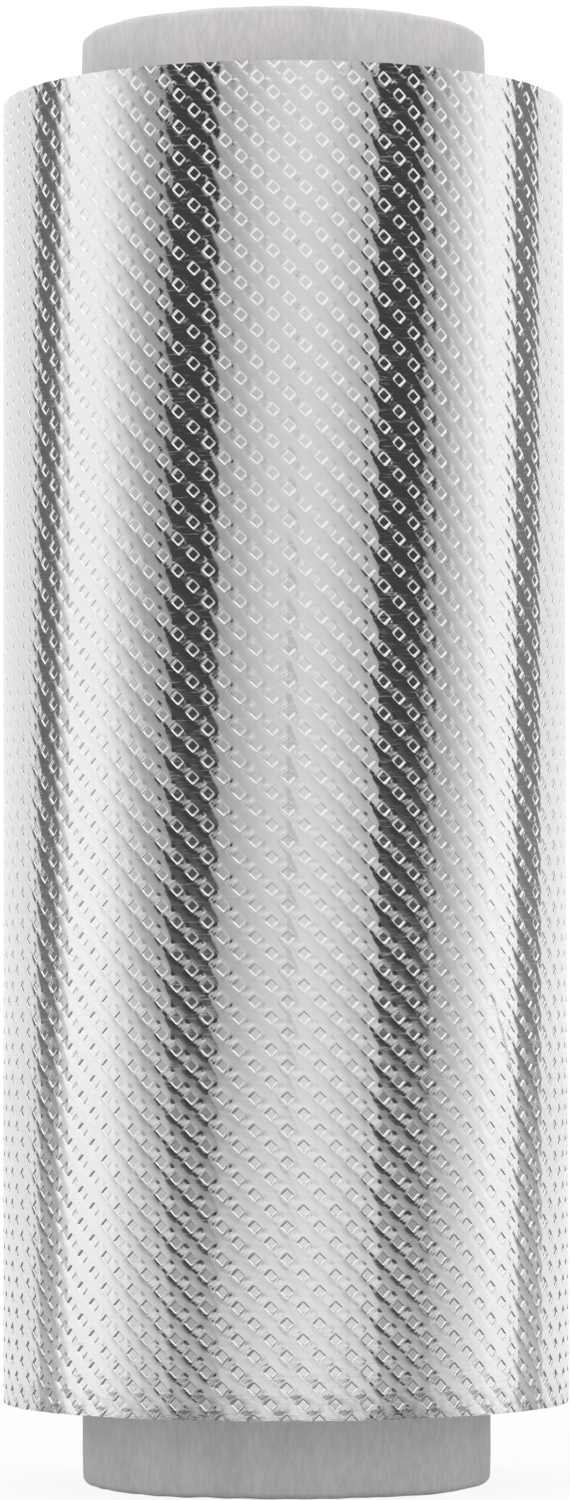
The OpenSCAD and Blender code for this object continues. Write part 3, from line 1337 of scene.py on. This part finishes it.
@dataclass
class Studio:
    """The plain bright room: a pale floor, a white surround with dark cards, and the camera."""

    panels: tuple[Panel, ...] = PANELS
    overhead: float = 1.07
    haze: float = 0.045
    haze_top: float = 0.075
    overhead_start: float = 0.22
    overhead_full: float = 0.42
    tripod_bearing: float = math.radians(2.0)
    tripod_width: float = math.radians(2.0)
    tripod_core: float = 0.6
    tripod_darkness: float = 0.16
    tripod_top: Span = (0.06, 0.10)
    soft_level: float = 0.30
    soft_share: float = 0.78
    floor_size: float = 6.0
    floor_colour: Colour = (0.86, 0.86, 0.86)
    floor_glow: float = 0.9
    # Painted shadow on the floor that the foil mirrors: its glow under and near the roll, far off,
    # and the radii where it changes
    painted_shadow_under: float = 0.20
    painted_shadow_near: float = 0.18
    floor_far: float = 0.88
    painted_shadow_edge: Span = (0.034, 0.046)
    near_edge: Span = (0.068, 0.138)
    floor_shine: float = 0.90
    floor_roughness: float = 0.12
    floor_ior: float = 1.2
    camera_place: tuple[float, float, float] = (0.0, -0.503, 0.0438)
    camera_pitch: float = math.radians(2.715)
    camera_roll: float = -0.0024
    lens: float = 130.2
    sensor: float = 36.0
    clip: Span = (0.01, 20.0)

    def build(self) -> None:
        """Builds the surround, the floor and the camera."""
        self.surround()
        self.floor()
        self.camera()
        scene = bpy.context.scene
        scene.view_settings.view_transform = "Standard"

    def surround(self) -> None:
        """Paints the panels round the horizon, a bright ceiling and the camera's white backdrop."""
        world = bpy.data.worlds.new("studio")
        bpy.context.scene.world = world
        world.use_nodes = True
        nodes = Nodes(world.node_tree)
        world.node_tree.nodes.clear()
        direction = nodes.add("ShaderNodeTexCoord").outputs["Generated"]
        x, y, z = nodes.separate(direction)
        bearing = nodes.math("ARCTAN2", x, nodes.product(y, -1.0))
        level = self.level_round(nodes, nodes.total(nodes.ratio(bearing, TURN), 0.5))
        off = nodes.size(nodes.minus(bearing, self.tripod_bearing))
        core = self.tripod_core * self.tripod_width
        strip = nodes.inverse(nodes.ramp(off, core, self.tripod_width))
        low = nodes.inverse(nodes.ramp(z, *self.tripod_top))
        level = nodes.minus(level, nodes.product(strip, low, self.tripod_darkness))
        misty = nodes.inverse(nodes.ramp(z, 0.0, self.haze_top))
        level = nodes.total(level, nodes.product(misty, self.haze))
        high = nodes.ramp(z, self.overhead_start, self.overhead_full)
        ceiling = nodes.product(high, self.overhead)
        level = nodes.total(nodes.product(level, nodes.inverse(high)), ceiling)
        soft = nodes.total(self.soft_level, nodes.product(level, self.soft_share))
        path = nodes.add("ShaderNodeLightPath").outputs
        mirrored = self.mirrored(nodes, path)
        strength = nodes.total(
            nodes.product(level, mirrored), nodes.product(soft, nodes.inverse(mirrored))
        )
        strength = nodes.math("MAXIMUM", strength, path["Is Camera Ray"])
        light = nodes.add("ShaderNodeBackground", {"Color": WHITE, "Strength": strength})
        end = nodes.add("ShaderNodeOutputWorld")
        world.node_tree.links.new(light.outputs[0], end.inputs["Surface"])

    @staticmethod
    def mirrored(nodes: Nodes, path: bpy.types.bpy_prop_collection) -> Socket:
        """Returns 1 for the rays that a mirror or glass sends on, and 0 for all others."""
        return nodes.math("MAXIMUM", path["Is Glossy Ray"], path["Is Transmission Ray"])

    def level_round(self, nodes: Nodes, share: Socket) -> Socket:
        """Lays the panels out round the horizon.

        Args:
            nodes: The world's nodes.
            share: The share of the way round, from 0 behind the roll to 1 there again.

        Returns:
            The surround's brightness.
        """
        node = nodes.add("ShaderNodeValToRGB", {0: share})
        stops = node.color_ramp.elements
        wanted = [
            (angle / 360.0 + 0.5, level)
            for panel in self.panels
            for angle, level in ((panel.start, panel.start_level), (panel.end, panel.end_level))
        ]
        while len(stops) < len(wanted):
            stops.new(0.5)
        for stop, (place, level) in zip(stops, wanted):
            stop.position = place
            stop.color = (level, level, level, 1.0)
        return nodes.add("ShaderNodeRGBToBW", {0: node.outputs[0]}).outputs[0]

    def floor(self) -> None:
        """Lays the pale floor, which the camera sees as nearly white."""
        half = self.floor_size / 2.0
        outline = [(-half, -half, 0), (half, -half, 0), (half, half, 0), (-half, half, 0)]
        mesh = bpy.data.meshes.new("floor")
        mesh.from_pydata(outline, [], [(0, 1, 2, 3)])
        mesh.materials.append(self.floor_material())
        floor = bpy.data.objects.new("floor", mesh)
        bpy.context.scene.collection.objects.link(floor)
        floor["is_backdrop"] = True

    def floor_material(self) -> bpy.types.Material:
        """Builds the floor's material: matt, nearly white to the camera, and polished in the foil.

        Returns:
            The material.
        """
        material = bpy.data.materials.new("pale_floor")
        material.use_nodes = True
        nodes = Nodes(material.node_tree)
        material.node_tree.nodes.clear()
        matt = nodes.add("ShaderNodeBsdfDiffuse", {"Color": (*self.floor_colour, 1.0)})
        white = nodes.add("ShaderNodeEmission", {"Color": WHITE, "Strength": 1.0})
        path = nodes.add("ShaderNodeLightPath").outputs
        glow = nodes.product(path["Is Camera Ray"], self.floor_glow)
        to_camera = self.mixed(nodes, glow, matt.outputs[0], white.outputs[0])
        mix = self.mixed(nodes, self.mirrored(nodes, path), to_camera, self.floor_in_foil(nodes))
        end = nodes.add("ShaderNodeOutputMaterial")
        material.node_tree.links.new(mix, end.inputs["Surface"])
        return material

    def floor_in_foil(self, nodes: Nodes) -> Socket:
        """Shades the floor that the foil mirrors, with a painted shadow that makes it darker near
        the roll.

        Args:
            nodes: The floor's nodes.

        Returns:
            The shader's output.
        """
        away = nodes.measure("LENGTH", nodes.add("ShaderNodeTexCoord").outputs["Object"])
        near, far = self.painted_shadow_near - self.painted_shadow_under, self.floor_far - self.painted_shadow_near
        # Painted shadow: the glow that the foil mirrors is dimmer near the roll.
        seen = nodes.total(
            self.painted_shadow_under,
            nodes.product(nodes.ramp(away, *self.painted_shadow_edge), near),
            nodes.product(nodes.ramp(away, *self.near_edge), far),
        )
        pale = nodes.add("ShaderNodeEmission", {"Color": WHITE, "Strength": seen})
        shine = nodes.add(
            "ShaderNodeBsdfGlossy", {"Color": WHITE, "Roughness": self.floor_roughness}
        )
        fresnel = nodes.add("ShaderNodeFresnel", {"IOR": self.floor_ior}).outputs[0]
        share = nodes.product(fresnel, self.floor_shine)
        return self.mixed(nodes, share, pale.outputs[0], shine.outputs[0])

    @staticmethod
    def mixed(nodes: Nodes, share: Value, first: Socket, second: Socket) -> Socket:
        """Returns a mix of two shaders, by the second one's share."""
        return nodes.add("ShaderNodeMixShader", {0: share, 1: first, 2: second}).outputs[0]

    def camera(self) -> None:
        """Places the camera where the photograph was taken from."""
        data = bpy.data.cameras.new("camera")
        data.lens = self.lens
        data.sensor_width = self.sensor
        data.clip_start, data.clip_end = self.clip
        camera = bpy.data.objects.new("camera", data)
        bpy.context.scene.collection.objects.link(camera)
        place = Matrix.Translation(Vector(self.camera_place))
        tilt = Matrix.Rotation(math.pi / 2 + self.camera_pitch, 4, "X")
        roll = Matrix.Rotation(self.camera_roll, 4, "Z")
        camera.matrix_world = place @ tilt @ roll
        bpy.context.scene.camera = camera


def report(piece: bpy.types.Object) -> None:
    """Logs a piece's size in triangles."""
    piece.data.calc_loop_triangles()
    LOG.info("%s: %d triangles", piece.name, len(piece.data.loop_triangles))


def corners() -> list[list[float]]:
    """Returns the shown object's lowest and highest corner as plain lists."""
    return [list(corner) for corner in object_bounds()]


def main() -> None:
    """Builds the roll and the studio in order."""
    logging.basicConfig(level=logging.INFO, format="%(name)s: %(message)s")
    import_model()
    foil_low, foil_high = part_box("foil_roll")
    tube_low, tube_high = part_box("core_tube")
    tube = PaperTube(outer=tube_high.x, length=tube_high.z - tube_low.z)
    foil = WoundFoil(
        radius=ROLL_RADIUS,
        foot=foil_low.z,
        height=foil_high.z - foil_low.z,
        bore=tube_high.x + GAP,
    )
    tube.build()
    foil.build()
    Studio().build()


if __name__ == "__main__":
    main()
